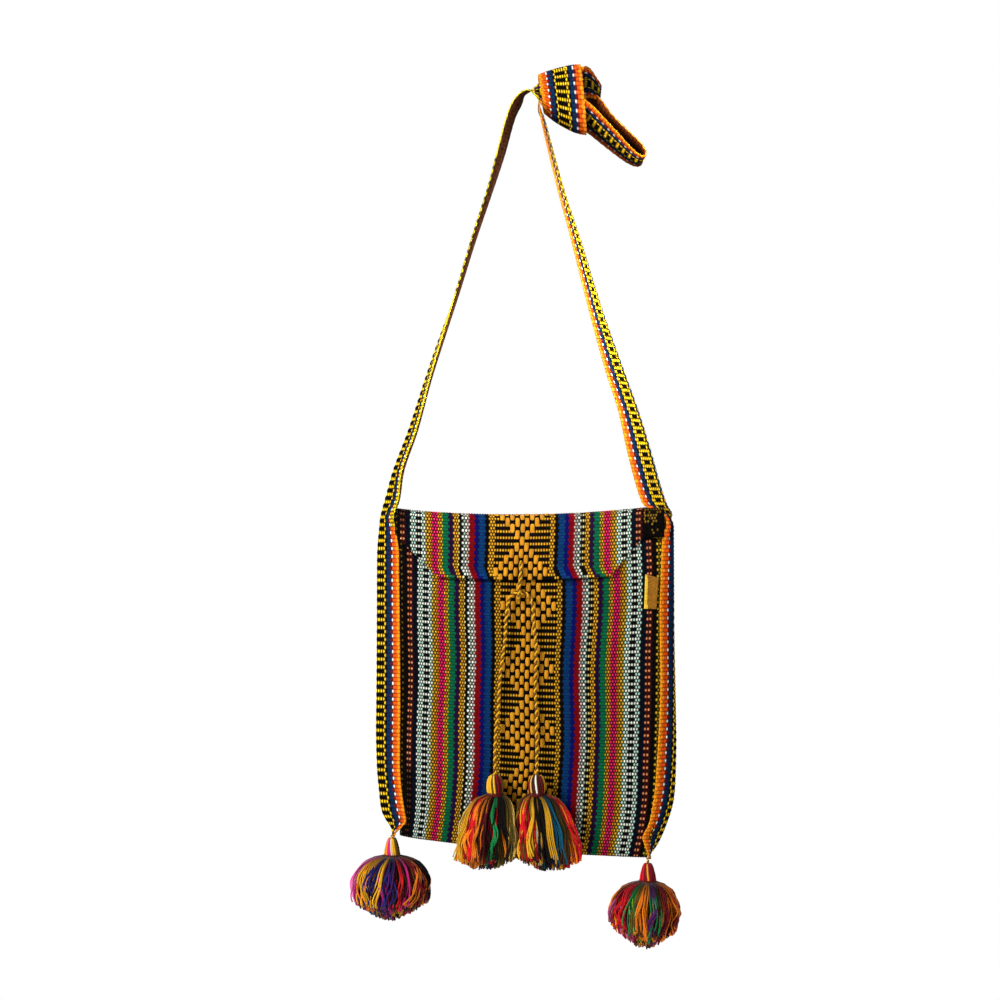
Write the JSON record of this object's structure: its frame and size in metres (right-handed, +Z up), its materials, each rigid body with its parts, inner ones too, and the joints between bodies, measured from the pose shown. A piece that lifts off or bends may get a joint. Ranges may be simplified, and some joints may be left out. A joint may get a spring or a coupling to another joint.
{
  "type": "woven crossbody bag",
  "caption": "Flat woven crossbody bag with a striped body and flap, a band strap that also forms the sides and is shortened by a knot, a hanging tie cord and yarn tassels.",
  "frame": {"origin": "where the underside of the strap lies over the hook that the bag hangs from", "axes": "+Z up along the hanging direction, the front with the flap faces -Y, +X to the right as seen from the front"},
  "size_m": [0.2706, 0.0674, 0.7286],
  "materials": {
    "striped_cloth": "warp-faced weave in coloured stripes",
    "strap_band": "warp-faced band weave",
    "gold_cord": "two-ply twist",
    "tassel_yarn": "loose spun yarn",
    "satin_label": "satin weave"
  },
  "bodies": {
    "root": {"flap_cloth": "striped_cloth", "back_cloth": "striped_cloth", "front_cloth": "striped_cloth", "strap_side_left": "strap_band", "strap_run_left": "strap_band", "strap_knot": "strap_band", "strap_run_right": "strap_band", "strap_side_right": "strap_band", "flap_loop": "gold_cord", "tie_cord": "gold_cord", "tie_tassel_left": "tassel_yarn", "tie_tassel_right": "tassel_yarn", "corner_tassel_left": "tassel_yarn", "corner_tassel_right": "tassel_yarn", "label_tab": "satin_label"}
  },
  "joints": []
}
